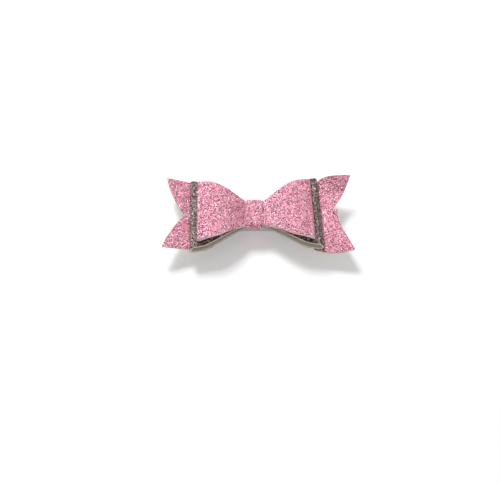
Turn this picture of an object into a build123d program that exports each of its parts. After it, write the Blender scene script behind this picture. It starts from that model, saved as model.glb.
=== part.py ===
from build123d import *
from math import cos, radians, sin
import os

# Layered glitter hair bow on a toothed alligator clip.  It lies face up on its clip.
# X runs along the bow, Y across it and Z up through its face.  The origin is under the middle
# of the tail strip, on the surface that the clip's lower jaw stands on.

# ---- sheet goods, in millimetres: a glitter coat bonded to a canvas backing
glitter = 0.25
backing = 0.60
sheet = glitter + backing

# ---- tail strip, the lowest layer
tail_span = 102.0
left_tips = 50.2  # across the tips of the left tail
right_tips = 52.6
left_waist = 47.2  # across the strip where it comes out past the outer loop
right_waist = 50.4
tail_neck = 9.0
tail_neck_run = 13.0  # length of the narrow middle
tail_rise = 0.7  # climb from the knot to the end of the outer loop
tip_rise = 3.7  # further climb from there to the tips
edge_swell = 1.4  # the right tail's outer edges are cut to a shallow curve
left_notch_depth = 11.0
right_notch_depth = 10.6
left_notch_shift = -0.9  # the V's are cut off the strip's centre line
right_notch_shift = 2.9
left_bulge = 1.35  # the lobes' inner edges are cut to a shallow curve
right_bulge = 0.85
step_run = 3.0  # the right V was cut twice, which left a step on its near lobe
step_drop = 0.3
step_width = 8.7

# ---- outer loop, silver
outer_length = 71.0
outer_height = 48.8
outer_neck = 12.2
outer_shoulder = 53.0  # length between the two corners of the plan outline
outer_shoulder_height = 45.8
outer_fold = 2.2  # outside radius of the fold at each end
outer_turn = 2.0  # degrees, tied a little off square
outer_rest_gap = 0.35  # from the tail strip to the loop's back sheet

# ---- inner loop, pink
inner_length = 62.6
inner_height = 42.0
inner_neck = 16.2
inner_shoulder = 42.0
inner_shoulder_height = 39.0
inner_fold = 1.12
inner_turn = 1.6
inner_rest_gap = 0.20  # from the outer loop's front sheet to this loop's folds

# ---- how the strips are bent, with radii on the faces that the routes follow
tail_bend = 40.0
knot_bend = 3.0  # where a loop's sheets leave the knot
back_bend = 10.0
front_bend = 25.0
back_run = 10.0  # from the knot's edge to the point where a back sheet levels out
outer_back_rise = 0.9
outer_front_drop = 0.30  # how far the front sheet is below its fold, back_run from the knot
inner_run = 9.0  # from the knot's edge to the bend before the crest
crest_run = 7.5  # from the crest to the fold
crest_height = 1.2  # of the crest over the top of the fold
crest_drop = 0.9  # of the bend below the crest
fold_flat = 0.04  # straight length left in the middle of each fold
seam_gap = 0.8  # between the strip ends that meet under the knot
outer_press_gap = 0.95  # between a loop's two sheets in the knot
inner_press_gap = 0.05

# ---- plan corners, rounded
outer_hollow = 3.0
outer_swell = 15.0
inner_hollow = 2.0
inner_swell = 22.0

# ---- centre wrap
wrap_width = 8.8
outer_bend_gap = 0.9  # from the wrap's edge to the bends of the outer loop
inner_bend_gap = 0.3
bend_lag = 0.5  # how much further out the inner loop's back sheet bends
ribbon_ease = 0.2  # side clearance round the ribbon and the two necks
outer_ease = 0.7
inner_ease = 0.9
wrap_slack = 0.10  # clearance over the stack
wrap_seam = 0.8
wrap_hem = 0.4  # inside radii, beside the ribbon, below and above the outer loop, and on top
wrap_flare = 1.2
wrap_cheek = 1.0
wrap_round = 1.1
knot_x = -1.6  # the knot is tied a little off the middle of the tail strip, both ways
knot_y = -1.25

# ---- clip
metal = 0.6
clip_tip = 25.0  # from the knot to the tip of the jaws
clip_tab = 22.0  # from the knot to the end of the finger tabs
pivot_run = 11.0  # from the knot to the hinge pin
arm_width = 9.0
arm_corner = 2.0
jaw_width = 7.4
tab_start = 3.5  # from the hinge pin to the wide end of the jaw
jaw_gap = 4.2  # between the two metal arms
ribbon = 0.4
ribbon_overhang = 0.2  # of the ribbon past each edge of the arm
ribbon_end = 8.0  # from the knot to the ribbon's ends, beside the hinge
tooth_pitch = 2.0
tooth_depth = 0.9
tooth_count = 8
tip_tooth_count = 3
tooth_clear = 0.1  # from the tooth tips to the ribbon
cheek_clear = 0.35  # from the jaw's side walls to the wrap
ear_clear = 0.2  # from the ears' round ends to the plates
pin_radius = 0.8
pin_clear = 0.05
head_radius = 1.4
head_height = 0.5
wire = 0.6
coil_radius = 1.35  # to the middle of the wire
coil_turns = 3.5
coil_pitch = 0.68
coil_step = 30  # degrees between the points that shape the coil
leg_reach = 8.5
leg_clear = 0.05
rib_count = 4
rib_pitch = 1.2
rib_size = 0.25
rib_margin = 1.5  # from the ribs to the edges of the finger tab
glue_length = 12.0
glue_width = 7.0
glue_start = 23.4  # from the knot to the glue's outer end

# ---- levels and places that follow from the sizes above
arm_under = metal + jaw_gap
arm_top = arm_under + metal
ribbon_under = arm_under - ribbon
bed = arm_top + ribbon  # top of the ribbon, where the tail strip lies
outer_under = bed + sheet
outer_top = outer_under + 2 * sheet + outer_press_gap
inner_top = outer_top + 2 * sheet + inner_press_gap
pivot_x = knot_x + pivot_run
pivot_z = metal + jaw_gap / 2
ear_radius = jaw_gap / 2 - ear_clear
tip_x = knot_x - clip_tip
tab_x = knot_x + clip_tab
ribbon_width = arm_width + 2 * ribbon_overhang
wrap_half = wrap_width / 2
outer_bend_x = wrap_half + outer_bend_gap
inner_bend_x = wrap_half + inner_bend_gap
beyond = tail_span  # further than any piece reaches, for trimming


def parallel(route, bends, distance):
    """A rounded line that keeps its distance on the left of a route, or on the right if negative."""
    corners = [Vector(*point) for point in route]
    lefts = [Vector(0, 0, 1).cross((b - a).normalized()) for a, b in zip(corners, corners[1:])]
    pairs = list(zip(lefts[:1] + lefts, lefts + lefts[-1:]))
    points = [p + (m + n) * (distance / (1 + m.dot(n))) for p, (m, n) in zip(corners, pairs)]
    left_turns = [m.cross(n).Z > 0 for m, n in zip(lefts, lefts[1:])]
    radii = [r - distance if left else r + distance for r, left in zip(bends, left_turns)]
    return FilletPolyline(*points, radius=radii)


def bent_strip(route, bends, near, far):
    """Edge view of a strip: what lies between two distances from the route of its one face."""
    with BuildSketch() as strip:
        with BuildLine():
            one_face = parallel(route, bends, near)
            other_face = parallel(route, bends, far)
            Line(one_face @ 0, other_face @ 0)
            Line(one_face @ 1, other_face @ 1)
        make_face()
    return strip.sketch


def hourglass(corners, bends):
    """Plan outline of a loop, from the corners of its first quarter and their radii."""
    right = corners + [(x, -y) for x, y in reversed(corners)]
    left = [(-x, -y) for x, y in right]
    with BuildSketch() as outline:
        with BuildLine():
            FilletPolyline(*right, *left, radius=2 * (bends + bends[::-1]), close=True)
        make_face()
    return outline.sketch


def mirrored_route(half, bends):
    """A loop's route and radii from seam to seam, from its half on the +X side."""
    return half + [(-x, z) for x, z in reversed(half)], bends + bends[::-1]


def planes_at_knot(turn):
    """Plan and side planes of a loop that is tied at the knot and turned about it."""
    plan = Plane(origin=(knot_x, 0, 0)).rotated((0, 0, turn))
    side = Plane(origin=plan.origin, x_dir=plan.x_dir, z_dir=-plan.y_dir)
    return plan, side


def export(part, name):
    """Moves a piece, drawn with the knot at Y 0, to its place about the middle of the tail strip."""
    placed = Pos(0, knot_y, 0) * part
    placed.label = name
    export_step(placed, f"parts/{name}.step")


os.makedirs("parts", exist_ok=True)


# ---- tail strip: glitter side up, rising past the outer loop to two V-cut ends
turn_up = outer_length / 2 - outer_fold
tail_neck_ends = [knot_x - tail_neck_run / 2, knot_x + tail_neck_run / 2]
tail_turns = [knot_x - turn_up, knot_x + turn_up]
tail_route = [
    (-tail_span / 2, bed + tail_rise + tip_rise),
    (tail_turns[0], bed + tail_rise),
    (tail_neck_ends[0], bed),
    (tail_neck_ends[1], bed),
    (tail_turns[1], bed + tail_rise),
    (tail_span / 2, bed + tail_rise + tip_rise),
]
tail_bends = [tail_bend] * 4

tail_plane = Plane(origin=(0, -knot_y, 0))

with BuildSketch() as tail_outline:
    with BuildLine():
        near_edge = [
            (-tail_span / 2, -left_tips / 2),
            (tail_turns[0], -left_waist / 2),
            (tail_neck_ends[0], -tail_neck / 2),
            (tail_neck_ends[1], -tail_neck / 2),
            (tail_turns[1], -right_waist / 2),
        ]
        far_edge = [(x, -y) for x, y in near_edge]
        right_tip = (tail_span / 2, right_tips / 2)
        left_notch = (left_notch_depth - tail_span / 2, left_notch_shift)
        right_notch = (tail_span / 2 - right_notch_depth, right_notch_shift)
        step_top = (right_notch[0] + step_run, right_notch_shift - step_drop)
        step_foot = (step_top[0] + step_drop, step_top[1] - step_width)
        Polyline(*near_edge)
        Polyline(*far_edge)
        SagittaArc(near_edge[-1], (right_tip[0], -right_tip[1]), -edge_swell)
        SagittaArc(far_edge[-1], right_tip, edge_swell)
        SagittaArc(left_notch, near_edge[0], -left_bulge)
        SagittaArc(left_notch, far_edge[0], left_bulge)
        SagittaArc(right_notch, right_tip, -right_bulge)
        Polyline(right_notch, step_top, step_foot, (right_tip[0], -right_tip[1]))
    make_face()

with BuildPart() as tail_strip_backing:
    with BuildSketch(Plane.XZ):
        add(bent_strip(tail_route, tail_bends, 0, backing))
    extrude(amount=beyond, both=True)
    with BuildSketch(tail_plane):
        add(tail_outline.sketch)
    extrude(amount=beyond, mode=Mode.INTERSECT)
export(tail_strip_backing.part, "tail_strip_backing")

with BuildPart() as tail_strip_glitter:
    with BuildSketch(Plane.XZ):
        add(bent_strip(tail_route, tail_bends, backing, sheet))
    extrude(amount=beyond, both=True)
    with BuildSketch(tail_plane):
        add(tail_outline.sketch)
    extrude(amount=beyond, mode=Mode.INTERSECT)
export(tail_strip_glitter.part, "tail_strip_glitter")


# ---- outer loop: one strip folded flat, glitter side out, its ends meeting under the knot
outer_plan, outer_side = planes_at_knot(outer_turn)
outer_fold_under = bed + tail_rise + sheet + outer_rest_gap
outer_fold_top = outer_fold_under + 2 * outer_fold
outer_route, outer_bends = mirrored_route(
    [
        (seam_gap / 2, outer_under),
        (outer_bend_x, outer_under),
        (outer_bend_x + back_run, outer_under + outer_back_rise),
        (outer_length / 2, outer_fold_under),
        (outer_length / 2, outer_fold_top),
        (outer_bend_x + back_run, outer_fold_top - outer_front_drop),
        (outer_bend_x, outer_top),
    ],
    [knot_bend, back_bend, outer_fold - fold_flat, outer_fold - fold_flat, front_bend, knot_bend],
)
outer_outline = hourglass(
    [
        (wrap_half, outer_neck / 2),
        (outer_shoulder / 2, outer_shoulder_height / 2),
        (outer_length / 2, outer_height / 2),
    ],
    [outer_hollow, outer_swell, 0],
)

with BuildPart() as outer_loop_backing:
    with BuildSketch(outer_side):
        add(bent_strip(outer_route, outer_bends, glitter, sheet))
    extrude(amount=beyond, both=True)
    with BuildSketch(outer_plan):
        add(outer_outline)
    extrude(amount=beyond, mode=Mode.INTERSECT)
export(outer_loop_backing.part, "outer_loop_backing")

with BuildPart() as outer_loop_glitter:
    with BuildSketch(outer_side):
        add(bent_strip(outer_route, outer_bends, 0, glitter))
    extrude(amount=beyond, both=True)
    with BuildSketch(outer_plan):
        add(outer_outline)
    extrude(amount=beyond, mode=Mode.INTERSECT)
export(outer_loop_glitter.part, "outer_loop_glitter")


# ---- inner loop: shorter and fuller, lying on the outer loop
inner_plan, inner_side = planes_at_knot(inner_turn)
inner_fold_under = outer_fold_top + inner_rest_gap
inner_fold_top = inner_fold_under + 2 * inner_fold
crest_x = inner_length / 2 - crest_run
crest_z = inner_fold_top + crest_height
inner_route, inner_bends = mirrored_route(
    [
        (seam_gap / 2, outer_top),
        (inner_bend_x + bend_lag, outer_top),
        (inner_bend_x + inner_run, crest_z - crest_drop - 2 * inner_fold),
        (crest_x, crest_z - 2 * inner_fold),
        (inner_length / 2, inner_fold_under),
        (inner_length / 2, inner_fold_top),
        (crest_x, crest_z),
        (inner_bend_x + inner_run, crest_z - crest_drop),
        (inner_bend_x, inner_top),
    ],
    [
        knot_bend,
        front_bend,
        front_bend,
        inner_fold - fold_flat,
        inner_fold - fold_flat,
        front_bend,
        front_bend,
        knot_bend,
    ],
)
inner_outline = hourglass(
    [
        (wrap_half, inner_neck / 2),
        (inner_shoulder / 2, inner_shoulder_height / 2),
        (inner_length / 2, inner_height / 2),
    ],
    [inner_hollow, inner_swell, 0],
)

with BuildPart() as inner_loop_backing:
    with BuildSketch(inner_side):
        add(bent_strip(inner_route, inner_bends, glitter, sheet))
    extrude(amount=beyond, both=True)
    with BuildSketch(inner_plan):
        add(inner_outline)
    extrude(amount=beyond, mode=Mode.INTERSECT)
export(inner_loop_backing.part, "inner_loop_backing")

with BuildPart() as inner_loop_glitter:
    with BuildSketch(inner_side):
        add(bent_strip(inner_route, inner_bends, 0, glitter))
    extrude(amount=beyond, both=True)
    with BuildSketch(inner_plan):
        add(inner_outline)
    extrude(amount=beyond, mode=Mode.INTERSECT)
export(inner_loop_glitter.part, "inner_loop_glitter")


# ---- centre wrap: a short strip round the stack and the clip's upper arm, butted underneath
knot_plane = Plane(origin=(knot_x, 0, 0), x_dir=(0, 1, 0), z_dir=(1, 0, 0))
window_top = inner_top + wrap_slack
wrap_half_route = [
    (wrap_seam / 2, ribbon_under),
    (ribbon_width / 2 + ribbon_ease, ribbon_under),
    (outer_neck / 2 + outer_ease, outer_under - ribbon_ease),
    (inner_neck / 2 + inner_ease, outer_top + ribbon_ease),
    (inner_neck / 2 + inner_ease, window_top),
]
wrap_route = wrap_half_route + [(-y, z) for y, z in reversed(wrap_half_route)]
wrap_bends = [wrap_hem, wrap_flare, wrap_cheek, wrap_round]
wrap_bends = wrap_bends + wrap_bends[::-1]

with BuildPart() as centre_wrap_backing:
    with BuildSketch(knot_plane):
        add(bent_strip(wrap_route, wrap_bends, 0, -backing))
    extrude(amount=wrap_half, both=True)
export(centre_wrap_backing.part, "centre_wrap_backing")

with BuildPart() as centre_wrap_glitter:
    with BuildSketch(knot_plane):
        add(bent_strip(wrap_route, wrap_bends, -backing, -sheet))
    extrude(amount=wrap_half, both=True)
export(centre_wrap_glitter.part, "centre_wrap_glitter")


# ---- clip's upper arm: a flat plate with two ears for the pin and ribs under the thumb
with BuildPart() as clip_upper_arm:
    with BuildSketch(Plane.XY.offset(arm_under)):
        with Locations(((tip_x + tab_x) / 2, 0)):
            RectangleRounded(tab_x - tip_x, arm_width, arm_corner)
    extrude(amount=metal)
    with BuildSketch(Plane.XZ.offset(arm_width / 2 - metal)):
        with Locations((pivot_x, pivot_z)):
            Circle(ear_radius)
            Rectangle(2 * ear_radius, arm_top - pivot_z, align=(Align.CENTER, Align.MIN))
            Circle(pin_radius + pin_clear, mode=Mode.SUBTRACT)
    extrude(amount=metal)
    mirror(about=Plane.XZ)
    with BuildSketch(Plane.XY.offset(arm_top)):
        with Locations((tab_x - rib_margin - (rib_count - 1) * rib_pitch / 2, 0)):
            with GridLocations(rib_pitch, 1, rib_count, 1):
                Rectangle(2 * rib_size, arm_width - 2 * rib_margin)
    extrude(amount=rib_size)
export(clip_upper_arm.part, "clip_upper_arm")


# ---- clip's lower jaw: a channel, toothed at the front, with ears inside the arm's
tooth_top = ribbon_under - tooth_clear
tooth_root = tooth_top - tooth_depth
cheek_top = ribbon_under - sheet - cheek_clear
teeth_end_x = tip_x + tooth_count * tooth_pitch
jaw_half = jaw_width / 2


def saw(start, pitch, count):
    """Points along a row of teeth, from the root before the first to the root after the last."""
    row = [(start, tooth_root)]
    for number in range(count):
        row.append((start + (number + 0.5) * pitch, tooth_top))
        row.append((start + (number + 1) * pitch, tooth_root))
    return row


with BuildPart() as clip_lower_jaw:
    with BuildSketch():
        with Locations((tip_x, 0)):
            Rectangle(tab_x - tip_x, jaw_width, align=(Align.MIN, Align.CENTER))
        with Locations((tab_x, 0)):
            Rectangle(clip_tab - pivot_run - tab_start, arm_width, align=(Align.MAX, Align.CENTER))
        fillet(vertices().group_by(Axis.X)[-1], radius=arm_corner)
    extrude(amount=metal)
    with BuildSketch(Plane.XZ.offset(jaw_half - metal)):
        with BuildLine():
            Polyline((tip_x, 0), *saw(tip_x, tooth_pitch, tooth_count), (teeth_end_x, 0), close=True)
        make_face()
        with Locations((teeth_end_x, 0)):
            Rectangle(pivot_x - teeth_end_x, cheek_top, align=Align.MIN)
        with Locations((pivot_x, 0)):
            Rectangle(2 * ear_radius, pivot_z, align=(Align.CENTER, Align.MIN))
        with Locations((pivot_x, pivot_z)):
            Circle(ear_radius)
            Circle(pin_radius + pin_clear, mode=Mode.SUBTRACT)
    extrude(amount=metal)
    mirror(about=Plane.XZ)
    with BuildSketch(Plane.YZ.offset(tip_x)):
        with BuildLine():
            tip_row = saw(-jaw_half, jaw_width / tip_tooth_count, tip_tooth_count)
            Polyline((-jaw_half, 0), *tip_row, (jaw_half, 0), close=True)
        make_face()
    extrude(amount=metal)
export(clip_lower_jaw.part, "clip_lower_jaw")


# ---- hinge pin, riveted over at both ends
with BuildPart() as hinge_pin:
    with BuildSketch(Plane.XZ):
        with Locations((pivot_x, pivot_z)):
            Circle(pin_radius)
    extrude(amount=arm_width / 2 + head_height, both=True)
    with BuildSketch(Plane.XZ.offset(arm_width / 2)):
        with Locations((pivot_x, pivot_z)):
            Circle(head_radius)
    extrude(amount=head_height)
    mirror(about=Plane.XZ)
export(hinge_pin.part, "hinge_pin")


# ---- torsion spring: wound on the pin, one leg under each finger tab
coil_half = coil_turns * coil_pitch / 2
leg_end_up = pivot_z - metal - wire / 2 - leg_clear  # of each leg's end, from the pin's level
leg_points = [
    (leg_reach * share, leg_end_up * share + coil_radius * (1 - share)) for share in (1, 0.6, 0.25)
]
coil_points = []
for turned in range(0, int(360 * coil_turns) + 1, coil_step):
    across = coil_radius * cos(radians(90 + turned))
    up = coil_radius * sin(radians(90 + turned))
    coil_points.append((pivot_x + across, coil_pitch * turned / 360 - coil_half, pivot_z + up))

with BuildPart() as torsion_spring:
    with BuildLine():
        upper_leg = [(pivot_x + x, -coil_half, pivot_z + z) for x, z in leg_points]
        lower_leg = [(pivot_x + x, coil_half, pivot_z - z) for x, z in reversed(leg_points)]
        wire_line = Spline(*upper_leg, *coil_points, *lower_leg)
    with BuildSketch(Plane(origin=wire_line @ 0, z_dir=wire_line % 0)):
        Circle(wire / 2)
    sweep()
export(torsion_spring.part, "torsion_spring")


# ---- ribbon lining, folded round the tip of the upper arm
with BuildPart() as ribbon_lining:
    with BuildSketch(Plane.XZ):
        ribbon_route = [
            (knot_x + ribbon_end, arm_top),
            (tip_x - metal / 2, arm_top),
            (tip_x - metal / 2, arm_under),
            (knot_x + ribbon_end, arm_under),
        ]
        add(bent_strip(ribbon_route, [(metal - fold_flat) / 2] * 2, 0, -ribbon))
    extrude(amount=ribbon_width / 2, both=True)
export(ribbon_lining.part, "ribbon_lining")


# ---- hot glue in the wedge between the ribbon and the rising tail strip
with BuildPart() as glue_bed:
    with BuildSketch(Plane.XZ):
        with Locations((knot_x - glue_start, bed)):
            Rectangle(glue_length, tail_rise, align=Align.MIN)
        add(bent_strip(tail_route, tail_bends, 0, 2 * tail_rise), mode=Mode.SUBTRACT)
    extrude(amount=glue_width / 2, both=True)
export(glue_bed.part, "glue_bed")
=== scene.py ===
from math import acos, ceil, cos, pi, radians, sin, tan
import bpy
import numpy as np
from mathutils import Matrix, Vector
from mathutils.geometry import delaunay_2d_cdt


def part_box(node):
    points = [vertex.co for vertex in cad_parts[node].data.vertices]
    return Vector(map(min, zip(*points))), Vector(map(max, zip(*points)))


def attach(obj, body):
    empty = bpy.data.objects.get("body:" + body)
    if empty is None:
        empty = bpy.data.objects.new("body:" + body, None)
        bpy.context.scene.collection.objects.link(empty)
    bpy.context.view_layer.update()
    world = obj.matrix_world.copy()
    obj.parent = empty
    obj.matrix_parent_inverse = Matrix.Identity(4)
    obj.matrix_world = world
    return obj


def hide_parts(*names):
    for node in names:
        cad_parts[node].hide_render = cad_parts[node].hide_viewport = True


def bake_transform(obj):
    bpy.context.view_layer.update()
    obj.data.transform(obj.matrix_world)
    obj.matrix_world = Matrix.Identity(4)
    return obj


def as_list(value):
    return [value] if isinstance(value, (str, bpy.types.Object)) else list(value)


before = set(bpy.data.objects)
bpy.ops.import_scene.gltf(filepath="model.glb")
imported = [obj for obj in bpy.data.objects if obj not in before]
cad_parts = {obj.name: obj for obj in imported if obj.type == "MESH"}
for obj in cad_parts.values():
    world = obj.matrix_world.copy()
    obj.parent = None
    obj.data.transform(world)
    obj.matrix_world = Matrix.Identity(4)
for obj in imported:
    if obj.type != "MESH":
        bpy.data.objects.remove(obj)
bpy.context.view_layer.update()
bpy.ops.object.select_all(action="DESELECT")

mm = 0.001
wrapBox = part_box("centre_wrap_backing")
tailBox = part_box("tail_strip_backing")
knotX, knotY = ((wrapBox[0][axis] + wrapBox[1][axis]) / 2 / mm for axis in (0, 1))
bedZ = tailBox[0][2] / mm  # top of the ribbon, where the tail strip lies
print("frame: knot at", round(knotX, 2), round(knotY, 2), "mm, bed at z", round(bedZ, 2), "mm")

# glitter canvas; sizes here and in the pieces below are in mm
canvas = {
    "coat": 0.25,  # glitter coat
    "cloth": 0.60,  # canvas backing
    "flake": 0.30,  # spacing of the facets that stand for flakes
    "relief": 0.07,  # how far flakes stand out
    "sunk": 0.35,  # how deep they sink, as a share of that
    "rowPitch": 0.87,  # between rows of flakes, as a share of their spacing
    "scatter": 0.27,  # of flakes, the same way
    "edgeWobble": 0.05,  # unevenness of the cut
    "clothPitch": (0.5, 2.4),  # spacing of points on a smooth side, along and across
}
sheetThick = canvas["coat"] + canvas["cloth"]


def roundedLine(corners, radii, spacing=0.3, softening=6):
    # evenly spaced points along a line whose inner corners are rounded
    corners = [np.array(c, float) for c in corners]
    points = [corners[0]]
    for before, corner, after, radius in zip(corners, corners[1:], corners[2:], radii):
        back = (before - corner) / np.linalg.norm(before - corner)
        ahead = (after - corner) / np.linalg.norm(after - corner)
        half = acos(max(-1, min(1, back @ ahead))) / 2
        reach = radius / tan(half)
        centre = corner + (back + ahead) / np.linalg.norm(back + ahead) * radius / sin(half)
        first, last = corner + back * reach - centre, corner + ahead * reach - centre
        turn = pi - 2 * half
        steps = max(3, ceil(turn * radius / spacing * 2))
        for step in range(steps + 1):
            share = step / steps
            swing = sin((1 - share) * turn) * first + sin(share * turn) * last
            points.append(centre + swing / sin(turn))
    points.append(corners[-1])
    points = np.array(points)
    travelled = np.concatenate([[0], np.cumsum(np.linalg.norm(np.diff(points, axis=0), axis=1))])
    count = int(travelled[-1] / spacing) + 1
    evenly = np.linspace(0, travelled[-1], count)
    line = np.stack([np.interp(evenly, travelled, points[:, axis]) for axis in (0, 1)], 1)
    for _ in range(softening):
        line[1:-1] = (line[:-2] + 2 * line[1:-1] + line[2:]) / 4
    return line


def shifted(route, distance):
    # the corners of a route, moved to its left by a distance
    corners = np.array(route, float)
    way = np.diff(corners, axis=0)
    way /= np.linalg.norm(way, axis=1)[:, None]
    left = np.stack([-way[:, 1], way[:, 0]], 1)
    before, after = np.concatenate([left[:1], left]), np.concatenate([left, left[-1:]])
    return corners + (before + after) * distance / (1 + np.sum(before * after, 1))[:, None]


def measured(line):
    # distance along a line at each of its points
    return np.concatenate([[0], np.cumsum(np.linalg.norm(np.diff(line, axis=0), axis=1))])


def walked(line, distance, depth):
    # where a point lies that is this far along a line and this deep on its left
    along = measured(line)
    slope = np.gradient(line, axis=0)
    slope /= np.linalg.norm(slope, axis=1)[:, None]
    left = np.stack([-slope[:, 1], slope[:, 0]], 1)
    spot = [np.interp(distance, along, line[:, axis]) for axis in (0, 1)]
    lean = [np.interp(distance, along, left[:, axis]) for axis in (0, 1)]
    return spot[0] + lean[0] * depth, spot[1] + lean[1] * depth


def spacedOutline(corners, pitch):
    # a closed outline with a point at each corner and even points between
    points = []
    for start, end in zip(corners, corners[1:] + corners[:1]):
        start, end = np.array(start, float), np.array(end, float)
        steps = max(1, round(np.linalg.norm(end - start) / pitch))
        points += [start + (end - start) * step / steps for step in range(steps)]
    return np.array(points)


def insideOutline(points, outline):
    inside = np.zeros(len(points), bool)
    x, y = points[:, 0], points[:, 1]
    for (x0, y0), (x1, y1) in zip(outline, np.roll(outline, -1, axis=0)):
        if y0 == y1:
            continue
        crossing = (y0 > y) != (y1 > y)
        inside ^= crossing & (x < x0 + (y - y0) * (x1 - x0) / (y1 - y0))
    return inside


def flatArea(outline):
    x, y = outline[:, 0], outline[:, 1]
    return abs(np.sum(x * np.roll(y, -1) - y * np.roll(x, -1))) / 2


def filledPattern(outline, pitchAlong, pitchAcross, jitter, rng):
    # points all over a flat pattern, and the triangles between them; the outline comes first
    low, high = outline.min(0), outline.max(0)
    rows = np.arange(low[0] + pitchAlong / 2, high[0], pitchAlong)
    columns = np.arange(low[1] + pitchAcross / 2, high[1], pitchAcross)
    grid = np.stack(np.meshgrid(rows, columns, indexing="ij"), -1)
    if jitter:
        grid[1::2, :, 1] += pitchAcross / 2
    grid = grid.reshape(-1, 2)
    pitch = np.array([pitchAlong, pitchAcross])
    grid += rng.uniform(-jitter, jitter, grid.shape) * pitch
    margin = min(pitchAlong, pitchAcross) * 0.55
    keep = np.ones(len(grid), bool)
    for shift in ((margin, 0), (-margin, 0), (0, margin), (0, -margin)):
        keep &= insideOutline(grid + shift, outline)
    points = np.concatenate([outline, grid[keep]])
    count = len(outline)
    rim = [(i, (i + 1) % count) for i in range(count)]
    flat = [Vector(p) for p in points]
    corners, _, triangles, *_ = delaunay_2d_cdt(flat, rim, [], 1, 1e-7, False)
    if len(corners) != len(points):
        raise ValueError("two points of a pattern fell together")
    triangles = np.array(triangles)
    triangles = triangles[insideOutline(points[triangles].mean(1), outline)]
    a, b, c = (points[triangles[:, k]] for k in range(3))
    turning = (b[:, 0] - a[:, 0]) * (c[:, 1] - a[:, 1]) - (b[:, 1] - a[:, 1]) * (c[:, 0] - a[:, 0])
    triangles[turning < 0] = triangles[turning < 0][:, ::-1]
    return points, triangles


def newObject(name, points, faces, flatSpots=None):
    mesh = bpy.data.meshes.new(name)
    mesh.from_pydata(points.tolist(), [], faces)
    mesh.update()
    if flatSpots is not None:  # the pattern's own coordinates, in metres
        layer = mesh.uv_layers.new(name="pattern")
        corner = np.zeros(len(mesh.loops), int)
        mesh.loops.foreach_get("vertex_index", corner)
        layer.data.foreach_set("uv", (flatSpots[corner] * mm).astype(np.float32).ravel())
    piece = bpy.data.objects.new(name, mesh)
    bpy.context.collection.objects.link(piece)
    return piece


def smoothed(piece, angle):
    bpy.ops.object.select_all(action="DESELECT")
    bpy.context.view_layer.objects.active = piece
    piece.select_set(True)
    bpy.ops.object.shade_smooth_by_angle(angle=radians(angle))
    piece.select_set(False)


def makeLayer(name, outline, place, low, high, seed, flakesOn=None, rib=None):
    # one closed layer of a bent strip, between two depths; flakesOn names its rough side
    rng = np.random.default_rng(seed)
    flake, wobble, clothPitch = canvas["flake"], canvas["edgeWobble"], canvas["clothPitch"]
    rimPitch = flake if flakesOn else clothPitch[0]
    if rib:
        rimPitch, wobble = rib["pitch"] / rib["stepsPerRib"], rib["wobble"]
    rim = spacedOutline(outline, rimPitch)
    rim = rim + rng.uniform(-wobble, wobble, rim.shape)
    coarse, coarseFaces = filledPattern(rim, *clothPitch, 0, rng)
    fine, fineFaces = coarse, coarseFaces
    if flakesOn:
        fine, fineFaces = filledPattern(rim, flake * canvas["rowPitch"], flake, canvas["scatter"], rng)
    if rib:
        fine, fineFaces = filledPattern(rim, rimPitch, rib["pitchAcross"], 0, rng)
    patterns = {"low": (coarse, coarseFaces), "high": (coarse, coarseFaces)}
    if flakesOn or rib:
        patterns[flakesOn or rib["side"]] = (fine, fineFaces)
    points, faces, flats = [], [], []
    total = 0
    for side, depth in (("low", low), ("high", high)):
        flat, triangles = patterns[side]
        depths = np.full(len(flat), float(depth))
        outward = -1 if side == "low" else 1
        if side == flakesOn:
            depths += outward * rng.uniform(-canvas["sunk"], 1, len(flat)) * canvas["relief"]
        if rib and side == rib["side"]:
            depths += outward * rib["height"] * (np.cos(flat[:, 0] / rib["pitch"] * 2 * pi) - 1) / 2
        points.append(place(flat[:, 0], flat[:, 1], depths))
        flats.append(flat)
        order = triangles[:, ::-1] if side == "low" else triangles
        faces += (order + total).tolist()
        total += len(flat)
    # the cut edge, in two bands with a slightly frayed line between them
    count = len(rim)
    middle = rim + rng.uniform(-wobble, wobble, rim.shape) * 0.8
    points.append(place(middle[:, 0], middle[:, 1], np.full(count, (low + high) / 2)))
    flats.append(middle)
    starts = (0, total, len(flats[0]))
    for lower, upper in zip(starts, starts[1:]):
        for i in range(count):
            j = (i + 1) % count
            faces.append((lower + i, lower + j, upper + j, upper + i))
    points, flats = np.concatenate(points), np.concatenate(flats)
    x, y = rim[:, 0], rim[:, 1]
    if np.sum(x * np.roll(y, -1) - y * np.roll(x, -1)) < 0:  # the outline runs the other way round
        faces = [face[::-1] if len(face) == 4 else face for face in faces]
    piece = newObject(name, points * mm, faces, flats)
    if not flakesOn:
        smoothed(piece, 40)
    return piece


def loopOutline(line, corners, radii, insets, step=1.0):
    # flat pattern of a loop: the plan outline, whose quarter has these corners, along the bent line;
    # the insets pull in the near edge of its front and of its back sheet, from so far out
    foldRun, startRun = 6, 7  # over which they come and go
    plan = roundedLine([(0, corners[0][1])] + corners, radii, 0.25, 0)
    along = measured(line)
    stops = np.linspace(0, along[-1], int(along[-1] / step))
    reach = np.abs(np.interp(stops, along, line[:, 0]))
    half = np.interp(reach, plan[:, 0], plan[:, 1])
    folds = along[np.argmax(line[:, 0])], along[np.argmin(line[:, 0])]
    inFront = (stops > folds[0]) & (stops < folds[1])
    fade = np.clip((reach.max() - reach) / foldRun, 0, 1)
    fade *= np.clip((reach - insets[2]) / startRun, 0, 1)
    nearHalf = half - np.where(inFront, insets[0], insets[1]) * fade
    near = [(s, -w) for s, w in zip(stops, nearHalf)]
    far = [(s, w) for s, w in zip(stops[::-1], half[::-1])]
    return near + far


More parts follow.
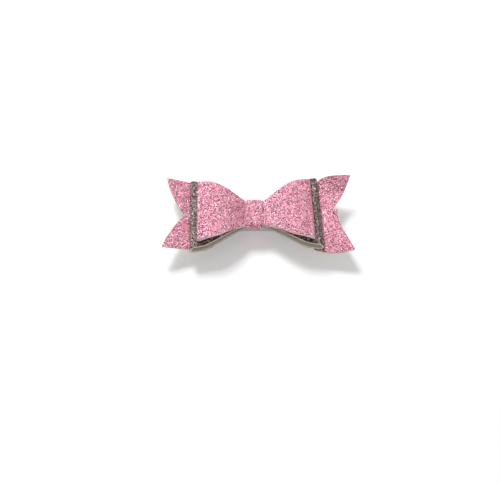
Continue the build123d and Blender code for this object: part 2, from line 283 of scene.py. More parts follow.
def loopPlace(line, turn, middle, sway=None):
    # puts a pattern's points where the bent strip is, turned about the knot
    c, s = cos(radians(turn)), sin(radians(turn))

    def place(distance, across, depth):
        x, z = walked(line, distance, depth)
        if sway:
            y, z = sway(x, across, z)
        else:
            y = across
        return np.stack([knotX + x * c - y * s, middle + x * s + y * c, z], 1)

    return place


def mirroredRoute(half, radii):
    return half + [(-x, z) for x, z in half[::-1]], radii + radii[::-1]


tailStrip = {
    "span": 102.0,
    "leftTips": 50.2,  # across the tips of the left tail
    "rightTips": (25.6, 23.4),  # half width to the near and the far tip
    "leftWaist": 47.2,
    "rightWaist": 50.4,
    "neck": 9.0,
    "neckRun": 13.0,
    "rise": 0.7,
    "tipRise": 3.7,
    "edgeSwell": (1.4, 0.5),  # of the right tail's near and far edges
    "leftNotch": (11.0, -0.9),  # depth, and how far off the middle
    "rightNotch": (10.6, 2.9),
    "leftBulge": 1.35,
    "rightBulge": 0.85,
    "step": (3.0, 0.3, 8.7),  # run, drop and width of the slip of the scissors
    "lobeRun": (1.0, 10.0),  # where the right tail starts to bend, past the outer loop, and over what run
    "bendAt": 11.5,  # the far right tip is bent up, from here on
    "bendSkew": 0.1,  # and from further out towards the knot
    "bendAngle": 34.0,
    "bendRun": 4.0,
    "droop": 1.2,  # of the near right tip
    "droopRun": (6.0, 18.0),  # where it starts and over what run
    "wave": 0.44,  # of both tails
}


def bulgedLine(start, end, bulge, steps=12):
    # a shallow curve from start to end that swells to the right of its way
    start, end = np.array(start, float), np.array(end, float)
    way = (end - start) / np.linalg.norm(end - start)
    right = np.array([way[1], -way[0]])
    shares = np.arange(steps) / steps
    return [tuple(start + (end - start) * t + right * bulge * 4 * t * (1 - t)) for t in shares]


def tailPieces():
    p = tailStrip
    left, right = -p["span"] / 2 - knotX, p["span"] / 2 - knotX
    turnUp = outerLoop["length"] / 2 - outerLoop["fold"]  # clears the outer loop
    neckEnd = p["neckRun"] / 2
    route = [
        (left, bedZ + p["rise"] + p["tipRise"]),
        (-turnUp, bedZ + p["rise"]),
        (-neckEnd, bedZ),
        (neckEnd, bedZ),
        (turnUp, bedZ + p["rise"]),
        (right, bedZ + p["rise"] + p["tipRise"]),
    ]
    line = roundedLine(route, [40] * 4)
    tips, waist, neck = p["leftTips"] / 2, p["leftWaist"] / 2, p["neck"] / 2
    nearTip, farTip = (right, -p["rightTips"][0]), (right, p["rightTips"][1])
    nearWaist, farWaist = (turnUp, -p["rightWaist"] / 2), (turnUp, p["rightWaist"] / 2)
    leftNotch = (left + p["leftNotch"][0], p["leftNotch"][1])
    rightNotch = (right - p["rightNotch"][0], p["rightNotch"][1])
    run, drop, width = p["step"]
    stepTop = (rightNotch[0] + run, rightNotch[1] - drop)
    stepFoot = (stepTop[0] + drop, stepTop[1] - width)
    plan = [(left, -tips), (-turnUp, -waist), (-neckEnd, -neck), (neckEnd, -neck)]
    plan += bulgedLine(nearWaist, nearTip, p["edgeSwell"][0])
    plan += [nearTip, stepFoot, stepTop]
    plan += bulgedLine(rightNotch, farTip, p["rightBulge"])
    plan += bulgedLine(farTip, farWaist, p["edgeSwell"][1])
    plan += [farWaist, (neckEnd, neck), (-neckEnd, neck), (-turnUp, waist)]
    plan += bulgedLine((left, tips), leftNotch, p["leftBulge"])
    plan += bulgedLine(leftNotch, (left, -tips), p["leftBulge"])
    along = measured(line)
    outline = [(np.interp(x, line[:, 0], along), y) for x, y in plan]

    def sway(x, across, z):
        # the far right tip is bent up, the near one droops, and the tails wave a little
        lobe = np.clip((x - turnUp - p["lobeRun"][0]) / p["lobeRun"][1], 0, 1)
        past = np.clip(across - p["bendAt"] - (right - x) * p["bendSkew"], 0, None)
        angle = radians(p["bendAngle"]) * lobe * (2 - lobe) + 1e-9
        arc = np.minimum(past, p["bendRun"]) / p["bendRun"] * angle
        straight = np.clip(past - p["bendRun"], 0, None)
        inward = past - np.sin(arc) * p["bendRun"] / angle - straight * np.cos(angle)
        lift = (1 - np.cos(arc)) * p["bendRun"] / angle + straight * np.sin(angle)
        droop = p["droop"] * lobe * np.clip((-across - p["droopRun"][0]) / p["droopRun"][1], 0, 1.1) ** 1.4
        outer = np.clip(np.abs(x) / turnUp - 0.7, 0, 1)
        wave = p["wave"] * np.sin(x * 0.13 + across * 0.21 + 1.0) * outer
        return across - inward, z + lift - droop + wave

    place = loopPlace(line, 0, 0, sway)
    cloth = makeLayer("tailStripCanvas", outline, place, 0, canvas["cloth"], 11)
    coat = makeLayer("tailStripGlitter", outline, place, canvas["cloth"], sheetThick, 12, "high")
    return coat, cloth, outline


outerLoop = {
    "length": 71.0,
    "fold": 2.2,
    "corners": [(4.4, 6.1), (26.5, 22.9), (35.5, 24.4)],  # plan outline, from the knot
    "cornerRadii": [3, 15],
    "insets": (0.7, 0.0, 17.0),  # of the front and of the back sheet's near edge, and from where
    "turn": 2.0,
    "restGap": 0.35,
    "pressGap": 0.95,
    "bend": 5.3,
    "run": 10.0,
    "backRise": 0.9,
    "frontDrop": 0.30,
    "dip": 0.45,  # where the inner loop's folds press on the front sheet
    "dipAt": 29.5,
}


def outerLevels():
    under = bedZ + sheetThick
    top = under + 2 * sheetThick + outerLoop["pressGap"]
    foldUnder = bedZ + tailStrip["rise"] + sheetThick + outerLoop["restGap"]
    return under, top, foldUnder, foldUnder + 2 * outerLoop["fold"]


def outerPieces():
    p = outerLoop
    under, top, foldUnder, foldTop = outerLevels()
    out, bend, tight = p["length"] / 2, p["bend"], p["fold"] - 0.04
    route, radii = mirroredRoute(
        [
            (0.4, under),
            (bend, under),
            (bend + p["run"], under + p["backRise"]),
            (out, foldUnder),
            (out, foldTop),
            (p["dipAt"], foldTop - p["dip"]),
            (bend + p["run"], foldTop - p["frontDrop"]),
            (bend, top),
        ],
        [3, 10, tight, tight - 0.08, 20, 25, 3],
    )
    line = roundedLine(route, radii)
    outline = loopOutline(line, p["corners"], p["cornerRadii"], p["insets"])
    place = loopPlace(line, p["turn"], knotY)
    coat = makeLayer("outerLoopGlitter", outline, place, 0, canvas["coat"], 21, "low")
    cloth = makeLayer("outerLoopCanvas", outline, place, canvas["coat"], sheetThick, 22)
    return coat, cloth, outline


innerLoop = {
    "length": 62.6,
    "fold": 1.12,
    "corners": [(4.4, 8.1), (21.0, 19.5), (31.3, 21.0)],
    "cornerRadii": [2, 22],
    "insets": (0.0, 1.1, 4.4),
    "turn": 1.6,
    "restGap": 0.20,
    "pressGap": 0.05,
    "bend": 5.05,
    "bendLag": 0.5,  # the back sheet bends further out
    "run": 9.0,
    "crestRun": 7.5,
    "crestHeight": 1.2,
    "crestDrop": 0.9,
}


def innerPieces():
    p = innerLoop
    under, foldUnder = outerLevels()[1], outerLevels()[3] + p["restGap"]
    top, thick = under + 2 * sheetThick + p["pressGap"], 2 * p["fold"]
    foldTop = foldUnder + thick
    out, bend, tight = p["length"] / 2, p["bend"], p["fold"] - 0.04
    crestX, crestZ = out - p["crestRun"], foldTop + p["crestHeight"]
    route, radii = mirroredRoute(
        [
            (0.4, under),
            (bend + p["bendLag"], under),
            (bend + p["run"], crestZ - p["crestDrop"] - thick),
            (crestX, crestZ - thick),
            (out, foldUnder),
            (out, foldTop),
            (crestX, crestZ),
            (bend + p["run"], crestZ - p["crestDrop"]),
            (bend, top),
        ],
        [3, 25, 25, tight, tight, 25, 25, 3],
    )
    line = roundedLine(route, radii)
    outline = loopOutline(line, p["corners"], p["cornerRadii"], p["insets"])
    place = loopPlace(line, p["turn"], knotY)
    coat = makeLayer("innerLoopGlitter", outline, place, 0, canvas["coat"], 31, "low")
    cloth = makeLayer("innerLoopCanvas", outline, place, canvas["coat"], sheetThick, 32)
    return coat, cloth, outline


centreWrap = {
    "width": 8.8,
    "seam": 0.8,
    "hem": (4.9, 4.4),  # inside corners, from the knot and over the floor
    "flare": (6.8, 6.45),
    "cheek": 9.0,
    "cheekAt": 9.5,
    "slack": 0.10,
    "offset": -0.3,  # to the left, which opens a crease on the right
    "radii": [0.4, 1.2, 1.0, 1.1],
}


def wrapPieces():
    p = centreWrap
    top = outerLevels()[1] + 2 * sheetThick + innerLoop["pressGap"] + p["slack"]
    half = [(p["seam"] / 2, p["hem"][1]), p["hem"], p["flare"], (p["cheek"], p["cheekAt"]), (p["cheek"], top)]
    route, radii = mirroredRoute(half, [r + sheetThick for r in p["radii"]])
    line = roundedLine(shifted(route, -sheetThick), radii, 0.2, 3)
    length, w = measured(line)[-1], p["width"] / 2
    outline = [(0, -w), (length, -w), (length, w), (0, w)]

    def place(distance, across, depth):
        y, z = walked(line, distance, depth)
        return np.stack([knotX + p["offset"] - across, knotY + y, z], 1)

    coat = makeLayer("centreWrapGlitter", outline, place, 0, canvas["coat"], 41, "low")
    cloth = makeLayer("centreWrapCanvas", outline, place, canvas["coat"], sheetThick, 42)
    return coat, cloth, outline


ribbonLining = {
    "thick": 0.4,
    "foldRadius": 0.28,  # inside
    "rib": {
        "side": "low",
        "pitch": 0.62,
        "pitchAcross": 1.6,
        "stepsPerRib": 6,
        "height": 0.10,
        "wobble": 0.012,
    },
}


def ribbonPiece():
    # grosgrain, folded round the tip of the upper arm
    p = ribbonLining
    low, high = (np.array(corner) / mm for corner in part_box("ribbon_lining"))
    tip, end = low[0] - knotX, high[0] - knotX
    line = roundedLine(
        [(end, high[2]), (tip, high[2]), (tip, low[2]), (end, low[2])],
        [p["foldRadius"] + p["thick"]] * 2,
        0.12,
        3,
    )
    length, half = measured(line)[-1], (high[1] - low[1]) / 2
    outline = [(0, -half), (length, -half), (length, half), (0, half)]
    place = loopPlace(line, 0, knotY)
    return makeLayer("ribbonLining", outline, place, 0, p["thick"], 51, None, p["rib"])


hotGlue = {
    "size": (13.0, 10.4, 1.9),
    "lump": 0.9,  # how uneven it set
    "lumpSpread": 3.2,
}


def gluePiece():
    # a dollop pressed flat between the ribbon and the rising tail strip
    p = hotGlue
    low, high = (Vector(corner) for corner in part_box("glue_bed"))
    middle = (low + high) / 2
    bpy.ops.mesh.primitive_ico_sphere_add(subdivisions=5, radius=0.5, location=middle)
    glue = bpy.context.object
    glue.name = "glueBed"
    glue.scale = [side * mm for side in p["size"]]
    bpy.ops.object.transform_apply(location=True, rotation=False, scale=True)
    lumps = bpy.data.textures.new("glueLumps", "CLOUDS")
    lumps.noise_scale = p["lumpSpread"] * mm
    uneven = glue.modifiers.new("uneven", "DISPLACE")
    uneven.texture = lumps
    uneven.strength = p["lump"] * mm
    bpy.ops.object.modifier_apply(modifier=uneven.name)
    bed = Vector((knotX - tailStrip["neckRun"] / 2, 0, bedZ)) * mm
    run = outerLoop["length"] / 2 - outerLoop["fold"] - tailStrip["neckRun"] / 2
    bpy.ops.object.mode_set(mode="EDIT")
    for normal, under in (((0, 0, 1), True), ((tailStrip["rise"], 0, run), False)):
        bpy.ops.mesh.select_all(action="SELECT")
        bpy.ops.mesh.bisect(
            plane_co=bed,
            plane_no=normal,
            use_fill=True,
            clear_inner=under,
            clear_outer=not under,
        )
    bpy.ops.object.mode_set(mode="OBJECT")
    smoothed(glue, 35)
    return glue


torsionSpring = {
    "wire": 0.6,
    "coilRadius": 1.35,
    "turns": 3.5,
    "pitch": 0.68,
    "reach": 8.5,
    "metal": 0.6,  # of the plates that its legs press on
    "legClear": 0.05,
}


def springPiece():
    # wound on the pin, with one leg above it and one below
    p = torsionSpring
    low, high = (np.array(corner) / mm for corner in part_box("hinge_pin"))
    pinX, pinY, pinZ = (low + high) / 2
    coilHalf = p["turns"] * p["pitch"] / 2
    legEnd = pinZ - p["metal"] - p["wire"] / 2 - p["legClear"]
    leg = [(p["reach"] * t, legEnd * t + p["coilRadius"] * (1 - t)) for t in np.linspace(1, 0.12, 8)]
    points = [(x, -coilHalf, z) for x, z in leg]
    for turned in range(0, int(360 * p["turns"]) + 1, 15):
        swing = radians(90 + turned)
        x, z = p["coilRadius"] * cos(swing), p["coilRadius"] * sin(swing)
        points.append((x, p["pitch"] * turned / 360 - coilHalf, z))
    points += [(x, coilHalf, -z) for x, z in leg[::-1]]
    bpy.ops.curve.primitive_nurbs_path_add()
    spring = bpy.context.object
    spring.name = "torsionSpring"
    curve = spring.data
    curve.splines.clear()
    wire = curve.splines.new("NURBS")
    wire.points.add(len(points) - 1)
    for spot, (x, y, z) in zip(wire.points, points):
        spot.co = ((pinX + x) * mm, (pinY + y) * mm, (pinZ + z) * mm, 1)
    wire.order_u = 3
    wire.use_endpoint_u = True
    wire.resolution_u = 2
    curve.bevel_depth = p["wire"] / 2 * mm
    curve.bevel_resolution = 4
    curve.use_fill_caps = True
    bpy.ops.object.convert(target="MESH")
    smoothed(spring, 40)
    inset = coilHalf - p["wire"] / 2
    start, end = ((pinX * mm, (pinY + side) * mm, pinZ * mm) for side in (-inset, inset))
    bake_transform(spring)
    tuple(start)
    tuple(end)
    return spring


def newMaterial(name):
    material = bpy.data.materials.new(name)
    material.use_nodes = True
    nodes = material.node_tree.nodes
    return material, nodes, material.node_tree.links, nodes["Principled BSDF"]


def addNode(nodes, kind, **settings):
    node = nodes.new(kind)
    for key, value in settings.items():
        if key[:2] == "in" and key[2:].isdigit():  # in0, in1 and so on are its sockets
            node.inputs[int(key[2:])].default_value = value
        else:
            setattr(node, key, value)
    return node


def newGroup(name, inputs, outputs):
    tree = bpy.data.node_groups.new(name, "ShaderNodeTree")
    for label, kind, value in inputs:
        socket = tree.interface.new_socket(name=label, in_out="INPUT", socket_type=kind)
        if value is not None:
            socket.default_value = value
    for label, kind in outputs:
        tree.interface.new_socket(name=label, in_out="OUTPUT", socket_type=kind)
    return tree, tree.nodes.new("NodeGroupInput"), tree.nodes.new("NodeGroupOutput")


def glitterGroup():
    # each cell is a flake with its own tilt and tone; the darkest flakes get a painted shade and the
    # brightest a painted glint
    tree, given, result = newGroup(
        "glitterFlakes",
        [
            ("Base Color", "NodeSocketColor", (0.7, 0.3, 0.4, 1)),
            ("Painted Shade Color", "NodeSocketColor", (0.3, 0.1, 0.2, 1)),
            ("Painted Glint Color", "NodeSocketColor", (1, 0.9, 0.95, 1)),
            ("Flakes per Metre", "NodeSocketFloat", 2000.0),
            ("Tilt", "NodeSocketFloat", 0.4),
            ("Painted Glint Share", "NodeSocketFloat", 0.1),
            ("Painted Shade Share", "NodeSocketFloat", 0.25),
            ("Contrast", "NodeSocketFloat", 0.4),
            ("Rows per Metre", "NodeSocketFloat", 600.0),
            ("Row Depth", "NodeSocketFloat", 0.0),
        ],
        [("Color", "NodeSocketColor"), ("Roughness", "NodeSocketFloat"), ("Normal", "NodeSocketVector")],
    )
    nodes, links = tree.nodes, tree.links
    where = nodes.new("ShaderNodeTexCoord")
    cells = addNode(nodes, "ShaderNodeTexVoronoi", feature="F1")
    links.new(where.outputs["Object"], cells.inputs["Vector"])
    links.new(given.outputs["Flakes per Metre"], cells.inputs["Scale"])
    # tilt of the flake
    centred = addNode(nodes, "ShaderNodeVectorMath", operation="SUBTRACT")
    centred.inputs[1].default_value = (0.5, 0.5, 0.5)
    links.new(cells.outputs["Color"], centred.inputs[0])
    leaned = addNode(nodes, "ShaderNodeVectorMath", operation="SCALE")
    links.new(centred.outputs[0], leaned.inputs[0])
    links.new(given.outputs["Tilt"], leaned.inputs["Scale"])
    surface = nodes.new("ShaderNodeNewGeometry")
    added = addNode(nodes, "ShaderNodeVectorMath", operation="ADD")
    links.new(surface.outputs["Normal"], added.inputs[0])
    links.new(leaned.outputs[0], added.inputs[1])
    unit = addNode(nodes, "ShaderNodeVectorMath", operation="NORMALIZE")
    links.new(added.outputs[0], unit.inputs[0])
    links.new(unit.outputs[0], result.inputs["Normal"])
    # tone of the flake; the darkest take a painted shade, for flakes turned away from the light
    chance = nodes.new("ShaderNodeSeparateColor")
    links.new(cells.outputs["Color"], chance.inputs[0])
    # painted shade: a share of flakes takes a dark colour, for flakes turned away from the light
    isShadeFlake = addNode(nodes, "ShaderNodeMath", operation="LESS_THAN")
    links.new(chance.outputs[0], isShadeFlake.inputs[0])
    links.new(given.outputs["Painted Shade Share"], isShadeFlake.inputs[1])
    # painted glint: a share of flakes takes a near-white colour, for flakes that catch the light
    isGlintFlake = addNode(nodes, "ShaderNodeMath", operation="LESS_THAN")
    links.new(chance.outputs[1], isGlintFlake.inputs[0])
    links.new(given.outputs["Painted Glint Share"], isGlintFlake.inputs[1])
    shaded = addNode(nodes, "ShaderNodeMix", data_type="RGBA", blend_type="MIX")
    links.new(isShadeFlake.outputs[0], shaded.inputs["Factor"])
    links.new(given.outputs["Base Color"], shaded.inputs[6])
    links.new(given.outputs["Painted Shade Color"], shaded.inputs[7])
    swing = addNode(nodes, "ShaderNodeMath", operation="SUBTRACT", in1=0.5)
    links.new(chance.outputs[2], swing.inputs[0])
    level = addNode(nodes, "ShaderNodeMath", operation="MULTIPLY_ADD", in2=1.0)
    links.new(swing.outputs[0], level.inputs[0])
    links.new(given.outputs["Contrast"], level.inputs[1])
    # rows across the strip, where the coat was laid on in lines
    pattern = addNode(nodes, "ShaderNodeUVMap", uv_map="pattern")
    along = nodes.new("ShaderNodeSeparateXYZ")
    links.new(pattern.outputs[0], along.inputs[0])
    turned = addNode(nodes, "ShaderNodeMath", operation="MULTIPLY")
    links.new(along.outputs[0], turned.inputs[0])
    links.new(given.outputs["Rows per Metre"], turned.inputs[1])
    angle = addNode(nodes, "ShaderNodeMath", operation="MULTIPLY", in1=2 * pi)
    links.new(turned.outputs[0], angle.inputs[0])
    wave = addNode(nodes, "ShaderNodeMath", operation="COSINE")
    links.new(angle.outputs[0], wave.inputs[0])
    row = addNode(nodes, "ShaderNodeMath", operation="MULTIPLY_ADD")
    links.new(wave.outputs[0], row.inputs[0])
    links.new(given.outputs["Row Depth"], row.inputs[1])
    links.new(level.outputs[0], row.inputs[2])
    varied = addNode(nodes, "ShaderNodeVectorMath", operation="SCALE")
    links.new(shaded.outputs[2], varied.inputs[0])
    links.new(row.outputs[0], varied.inputs["Scale"])
    # the glint flakes take the painted glint colour
    glinted = addNode(nodes, "ShaderNodeMix", data_type="RGBA", blend_type="MIX")
    links.new(isGlintFlake.outputs[0], glinted.inputs["Factor"])
    links.new(varied.outputs[0], glinted.inputs[6])
    links.new(given.outputs["Painted Glint Color"], glinted.inputs[7])
    links.new(glinted.outputs[2], result.inputs["Color"])
    gloss = addNode(nodes, "ShaderNodeMapRange", in1=0.0, in2=1.0, in3=0.22, in4=0.55)
    links.new(chance.outputs[1], gloss.inputs[0])
    links.new(gloss.outputs[0], result.inputs["Roughness"])
    return tree


# in both recipes the dark flake colour is painted shade and the bright flake colour a painted glint
pinkGlitter = {
    "Base Color": (0.90, 0.315, 0.425, 1),
    "Painted Shade Color": (0.23, 0.035, 0.07, 1),
    "Painted Glint Color": (1.0, 0.68, 0.80, 1),
    "Flakes per Metre": 2450,
    "Tilt": 1.0,
    "Painted Glint Share": 0.26,
    "Painted Shade Share": 0.33,
    "Contrast": 1.6,
    "Row Depth": 0.0,
}
silverGlitter = {
    "Base Color": (0.19, 0.12, 0.11, 1),
    "Painted Shade Color": (0.035, 0.02, 0.018, 1),
    "Painted Glint Color": (0.85, 0.74, 0.70, 1),
    "Flakes per Metre": 2450,
    "Tilt": 0.9,
    "Painted Glint Share": 0.17,
    "Painted Shade Share": 0.34,
    "Contrast": 1.6,
    "Row Depth": 0.30,
}


def glitterMaterial(name, recipe, metallic, group):
    material, nodes, links, shader = newMaterial(name)
    flakes = nodes.new("ShaderNodeGroup")
    flakes.node_tree = group
    for label, value in recipe.items():
        flakes.inputs[label].default_value = value
    links.new(flakes.outputs["Color"], shader.inputs["Base Color"])
    links.new(flakes.outputs["Roughness"], shader.inputs["Roughness"])
    links.new(flakes.outputs["Normal"], shader.inputs["Normal"])
    shader.inputs["Metallic"].default_value = metallic
    return material


def weaveGroup():
    # crossing threads: a painted shade for the gaps between them, deeper where the weave lies low, and a
    # height for the bump
    tree, given, result = newGroup(
        "plainWeave",
        [
            ("Threads per Metre", "NodeSocketFloat", 1600.0),
            ("Unevenness", "NodeSocketFloat", 0.3),
        ],
        [("Height", "NodeSocketFloat"), ("Gap Shade", "NodeSocketFloat")],
    )
    nodes, links = tree.nodes, tree.links
    where = addNode(nodes, "ShaderNodeUVMap", uv_map="pattern")
    noise = addNode(nodes, "ShaderNodeTexNoise", in2=420.0, in3=3.0)
    links.new(where.outputs[0], noise.inputs["Vector"])
    wander = addNode(nodes, "ShaderNodeVectorMath", operation="SCALE", in3=0.0004)
    links.new(noise.outputs["Color"], wander.inputs[0])
    moved = addNode(nodes, "ShaderNodeVectorMath", operation="ADD")
    links.new(where.outputs[0], moved.inputs[0])
    links.new(wander.outputs[0], moved.inputs[1])
    scaled = addNode(nodes, "ShaderNodeVectorMath", operation="SCALE")
    links.new(moved.outputs[0], scaled.inputs[0])
    links.new(given.outputs["Threads per Metre"], scaled.inputs["Scale"])
    axes = nodes.new("ShaderNodeSeparateXYZ")
    links.new(scaled.outputs[0], axes.inputs[0])
    waves = []
    for axis in (0, 1):
        turned = addNode(nodes, "ShaderNodeMath", operation="MULTIPLY", in1=pi)
        links.new(axes.outputs[axis], turned.inputs[0])
        wave = addNode(nodes, "ShaderNodeMath", operation="SINE")
        links.new(turned.outputs[0], wave.inputs[0])
        waves.append(wave)
    crossed = addNode(nodes, "ShaderNodeMath", operation="MULTIPLY")
    links.new(waves[0].outputs[0], crossed.inputs[0])
    links.new(waves[1].outputs[0], crossed.inputs[1])
    lifted = addNode(nodes, "ShaderNodeMath", operation="ABSOLUTE")
    links.new(crossed.outputs[0], lifted.inputs[0])
    rough = addNode(nodes, "ShaderNodeMath", operation="MULTIPLY_ADD")
    links.new(noise.outputs["Fac"], rough.inputs[0])
    links.new(given.outputs["Unevenness"], rough.inputs[1])
    links.new(lifted.outputs[0], rough.inputs[2])
    links.new(rough.outputs[0], result.inputs["Height"])
    # painted shade: the lower the weave, the more of the gap colour
    gapShading = addNode(nodes, "ShaderNodeMapRange", in1=0.15, in2=0.9, in3=0.55, in4=0.0)
    links.new(rough.outputs[0], gapShading.inputs[0])
    links.new(gapShading.outputs[0], result.inputs["Gap Shade"])
    return tree


# the gap colours are painted shade between the threads
canvasCloth = {
    "thread": (0.84, 0.76, 0.66, 1),
    "gap": (0.50, 0.42, 0.34, 1),
    "threadsPerMetre": 2000,
}
ribbonCloth = {
    "thread": (0.72, 0.32, 0.41, 1),
    "gap": (0.40, 0.13, 0.19, 1),
    "threadsPerMetre": 4200,
}


def clothMaterial(name, recipe, group, bump):
    material, nodes, links, shader = newMaterial(name)
    weave = nodes.new("ShaderNodeGroup")
    weave.node_tree = group
    weave.inputs["Threads per Metre"].default_value = recipe["threadsPerMetre"]
    # painted shade in the gaps between the threads, following the weave's height
    mixed = addNode(nodes, "ShaderNodeMix", data_type="RGBA")
    mixed.inputs[6].default_value = recipe["thread"]
    mixed.inputs[7].default_value = recipe["gap"]
    links.new(weave.outputs["Gap Shade"], mixed.inputs["Factor"])
    links.new(mixed.outputs[2], shader.inputs["Base Color"])
    relief = addNode(nodes, "ShaderNodeBump")
    relief.inputs["Strength"].default_value = 0.7
    relief.inputs["Distance"].default_value = bump
    links.new(weave.outputs["Height"], relief.inputs["Height"])
    links.new(relief.outputs[0], shader.inputs["Normal"])
    shader.inputs["Roughness"].default_value = 0.85
    shader.inputs["Sheen Weight"].default_value = 0.25
    return material


clipSteel = {
    "tints": ((0.56, 0.56, 0.57, 1), (0.70, 0.70, 0.70, 1)),
    "gloss": (0.22, 0.40),  # roughness, from and to
    "linesPerMetre": (60, 2600, 2600),
    "spotsPerMetre": 500.0,
    "relief": 0.00002,
}


def steelMaterial():
    # nickel plated, with fine rolling lines and a little wear
    p = clipSteel
    material, nodes, links, shader = newMaterial("clipSteel")
    where = nodes.new("ShaderNodeTexCoord")
    stretched = nodes.new("ShaderNodeMapping")
    stretched.inputs["Scale"].default_value = p["linesPerMetre"]
    links.new(where.outputs["Object"], stretched.inputs["Vector"])
    lines = addNode(nodes, "ShaderNodeTexNoise", in2=1.0, in3=4.0)
    links.new(stretched.outputs[0], lines.inputs["Vector"])
    gloss = addNode(nodes, "ShaderNodeMapRange", in1=0.3, in2=0.7, in3=p["gloss"][0], in4=p["gloss"][1])
    links.new(lines.outputs["Fac"], gloss.inputs[0])
    links.new(gloss.outputs[0], shader.inputs["Roughness"])
    spots = addNode(nodes, "ShaderNodeTexNoise", in2=p["spotsPerMetre"], in3=5.0)
    links.new(where.outputs["Object"], spots.inputs["Vector"])
    tint = addNode(nodes, "ShaderNodeMix", data_type="RGBA")
    tint.inputs[6].default_value, tint.inputs[7].default_value = p["tints"]
    links.new(spots.outputs["Fac"], tint.inputs["Factor"])
    links.new(tint.outputs[2], shader.inputs["Base Color"])
    relief = addNode(nodes, "ShaderNodeBump")
    relief.inputs["Strength"].default_value = 0.15
    relief.inputs["Distance"].default_value = p["relief"]
    links.new(lines.outputs["Fac"], relief.inputs["Height"])
    links.new(relief.outputs[0], shader.inputs["Normal"])
    shader.inputs["Metallic"].default_value = 1.0
    return material


setGlue = {
    "tints": ((0.70, 0.68, 0.62, 1), (0.86, 0.85, 0.81, 1)),
    "roughness": 0.28,
    "cloudsPerMetre": 380.0,
    "relief": 0.0002,
    "glow": (0.002, 0.002, 0.0018),  # how far light goes in
}


def glueMaterial():
    # cloudy hot glue
    p = setGlue
    material, nodes, links, shader = newMaterial("hotGlue")
    where = nodes.new("ShaderNodeTexCoord")
    cloud = addNode(nodes, "ShaderNodeTexNoise", in2=p["cloudsPerMetre"], in3=4.0)
    links.new(where.outputs["Object"], cloud.inputs["Vector"])
    tint = addNode(nodes, "ShaderNodeMix", data_type="RGBA")
    tint.inputs[6].default_value, tint.inputs[7].default_value = p["tints"]
    links.new(cloud.outputs["Fac"], tint.inputs["Factor"])
    links.new(tint.outputs[2], shader.inputs["Base Color"])
    relief = addNode(nodes, "ShaderNodeBump")
    relief.inputs["Strength"].default_value = 0.4
    relief.inputs["Distance"].default_value = p["relief"]
    links.new(cloud.outputs["Fac"], relief.inputs["Height"])
    links.new(relief.outputs[0], shader.inputs["Normal"])
    shader.inputs["Roughness"].default_value = p["roughness"]
    shader.inputs["Subsurface Weight"].default_value = 0.4
    shader.inputs["Subsurface Radius"].default_value = p["glow"]
    return material


flakeGroup, threadGroup = glitterGroup(), weaveGroup()
finishes = {
    "pink_glitter": glitterMaterial("pinkGlitter", pinkGlitter, 0.30, flakeGroup),
    "silver_glitter": glitterMaterial("silverGlitter", silverGlitter, 0.45, flakeGroup),
    "canvas_backing": clothMaterial("canvasBacking", canvasCloth, threadGroup, 0.00012),
    "ribbon_pink": clothMaterial("ribbonPink", ribbonCloth, threadGroup, 0.00005),
    "clip_steel": steelMaterial(),
    "hot_glue": glueMaterial(),
}
print("materials made:", ", ".join(finishes))


def finish(piece, slot):
    piece.data.materials.clear()
    piece.data.materials.append(finishes[slot])


def dress(made, label, glitterSlot, held, coatGoesWith=(), clothGoesWith=()):
    coat, cloth, outline = made
    flat = np.array(outline)
    area = flatArea(flat) * mm * mm
    for piece, node, slot, company in (
        (coat, label + "_glitter", glitterSlot, coatGoesWith),
        (cloth, label + "_backing", "canvas_backing", clothGoesWith),
    ):
        finish(piece, slot)
        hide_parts(node)
        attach(piece, "bow")
        if held:
            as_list(company)


# the wrap is narrower than a sheet can be declared, so it goes with the loop it holds
wrap, inner = wrapPieces(), innerPieces()
dress(wrap, "centre_wrap", "pink_glitter", None)
dress(inner, "inner_loop", "pink_glitter", "folded", [wrap[0]], [wrap[1]])
dress(outerPieces(), "outer_loop", "silver_glitter", "folded")
dress(tailPieces(), "tail_strip", "pink_glitter", "stretched")

for piece, node, slotName in (
    (ribbonPiece(), "ribbon_lining", "ribbon_pink"),
    (gluePiece(), "glue_bed", "hot_glue"),
    (springPiece(), "torsion_spring", "clip_steel"),
):
    finish(piece, slotName)
    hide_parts(node)
    if node != "torsion_spring":
        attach(piece, "bow")
for node in ("clip_upper_arm", "clip_lower_jaw", "hinge_pin"):
    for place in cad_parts[node].material_slots:
        place.material = finishes["clip_steel"]
print("ribbon, glue, spring and clip done")


stage = {
    "floorSize": 6.0,
    "floorGap": 0.00005,
    "floorColor": (0.90, 0.90, 0.90, 1),
    "floorGlow": 0.22,  # lifts the floor to white where it is seen
    "skyStrength": 0.34,
    "keyPower": 6.6,
    "keySize": 0.3,
    "keyPlace": (-0.23, 0.54, 0.64),
    "fillPower": 0.9,
    "fillSize": 0.5,
    "fillPlace": (0.12, -0.62, 0.26),
}
camera = {
    "elevation": 50.0,
    "distance": 0.500,
    "lens": 66.4,
    "target": (-0.0044, -0.0133, 0.0004),
}


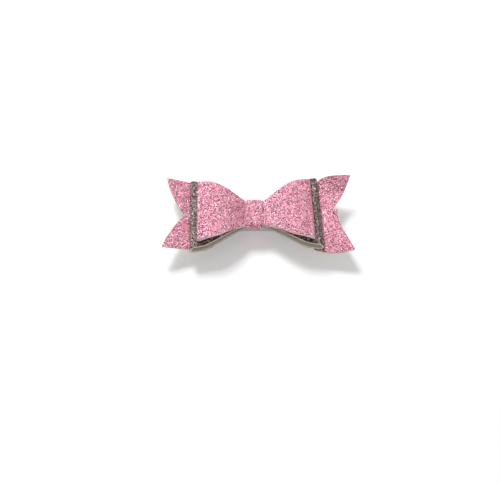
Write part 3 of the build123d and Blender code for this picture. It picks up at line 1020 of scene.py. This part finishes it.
def addStage():
    bpy.ops.mesh.primitive_plane_add(size=stage["floorSize"], location=(0, 0, -stage["floorGap"]))
    floor = bpy.context.object
    floor.name = "floor"
    material, nodes, links, shader = newMaterial("paleFloor")
    shader.inputs["Base Color"].default_value = stage["floorColor"]
    shader.inputs["Roughness"].default_value = 0.9
    shader.inputs["Specular IOR Level"].default_value = 0.1
    path = nodes.new("ShaderNodeLightPath")
    seen = addNode(nodes, "ShaderNodeMath", operation="MAXIMUM")
    links.new(path.outputs["Is Camera Ray"], seen.inputs[0])
    links.new(path.outputs["Is Glossy Ray"], seen.inputs[1])
    reached = addNode(nodes, "ShaderNodeMath", operation="MAXIMUM")
    links.new(seen.outputs[0], reached.inputs[0])
    links.new(path.outputs["Is Transmission Ray"], reached.inputs[1])
    glow = addNode(nodes, "ShaderNodeMath", operation="MULTIPLY", in1=stage["floorGlow"])
    links.new(reached.outputs[0], glow.inputs[0])
    shader.inputs["Emission Color"].default_value = (1, 1, 1, 1)
    links.new(glow.outputs[0], shader.inputs["Emission Strength"])
    # seen from below, the floor isn't there
    clear = nodes.new("ShaderNodeBsdfTransparent")
    side = nodes.new("ShaderNodeNewGeometry")
    either = nodes.new("ShaderNodeMixShader")
    links.new(side.outputs["Backfacing"], either.inputs[0])
    links.new(shader.outputs[0], either.inputs[1])
    links.new(clear.outputs[0], either.inputs[2])
    links.new(either.outputs[0], nodes["Material Output"].inputs["Surface"])
    floor.data.materials.append(material)
    world = bpy.data.worlds.new("studio")
    bpy.context.scene.world = world
    world.use_nodes = True
    world.node_tree.nodes["Background"].inputs["Color"].default_value = (1, 1, 1, 1)
    world.node_tree.nodes["Background"].inputs["Strength"].default_value = stage["skyStrength"]


def addLamp(name, power, size, place):
    bpy.ops.object.light_add(type="AREA", location=place)
    lamp = bpy.context.object
    lamp.name = name
    lamp.data.energy = power
    lamp.data.size = size
    lamp.rotation_euler = (-Vector(place)).to_track_quat("-Z", "Y").to_euler()


addStage()
addLamp("keyLamp", stage["keyPower"], stage["keySize"], stage["keyPlace"])
addLamp("fillLamp", stage["fillPower"], stage["fillSize"], stage["fillPlace"])

aim = Vector(camera["target"])
tilt = radians(camera["elevation"])
spot = aim + camera["distance"] * Vector((0, -cos(tilt), sin(tilt)))
bpy.ops.object.camera_add(location=spot, rotation=(pi / 2 - tilt, 0, 0))
bpy.context.object.data.lens = camera["lens"]
bpy.context.object.data.sensor_width = 36
bpy.context.object.data.clip_start = 0.01
bpy.context.scene.camera = bpy.context.object
bpy.context.scene.view_settings.view_transform = "Standard"
bpy.ops.object.select_all(action="DESELECT")
print("stage, lamps and camera set")
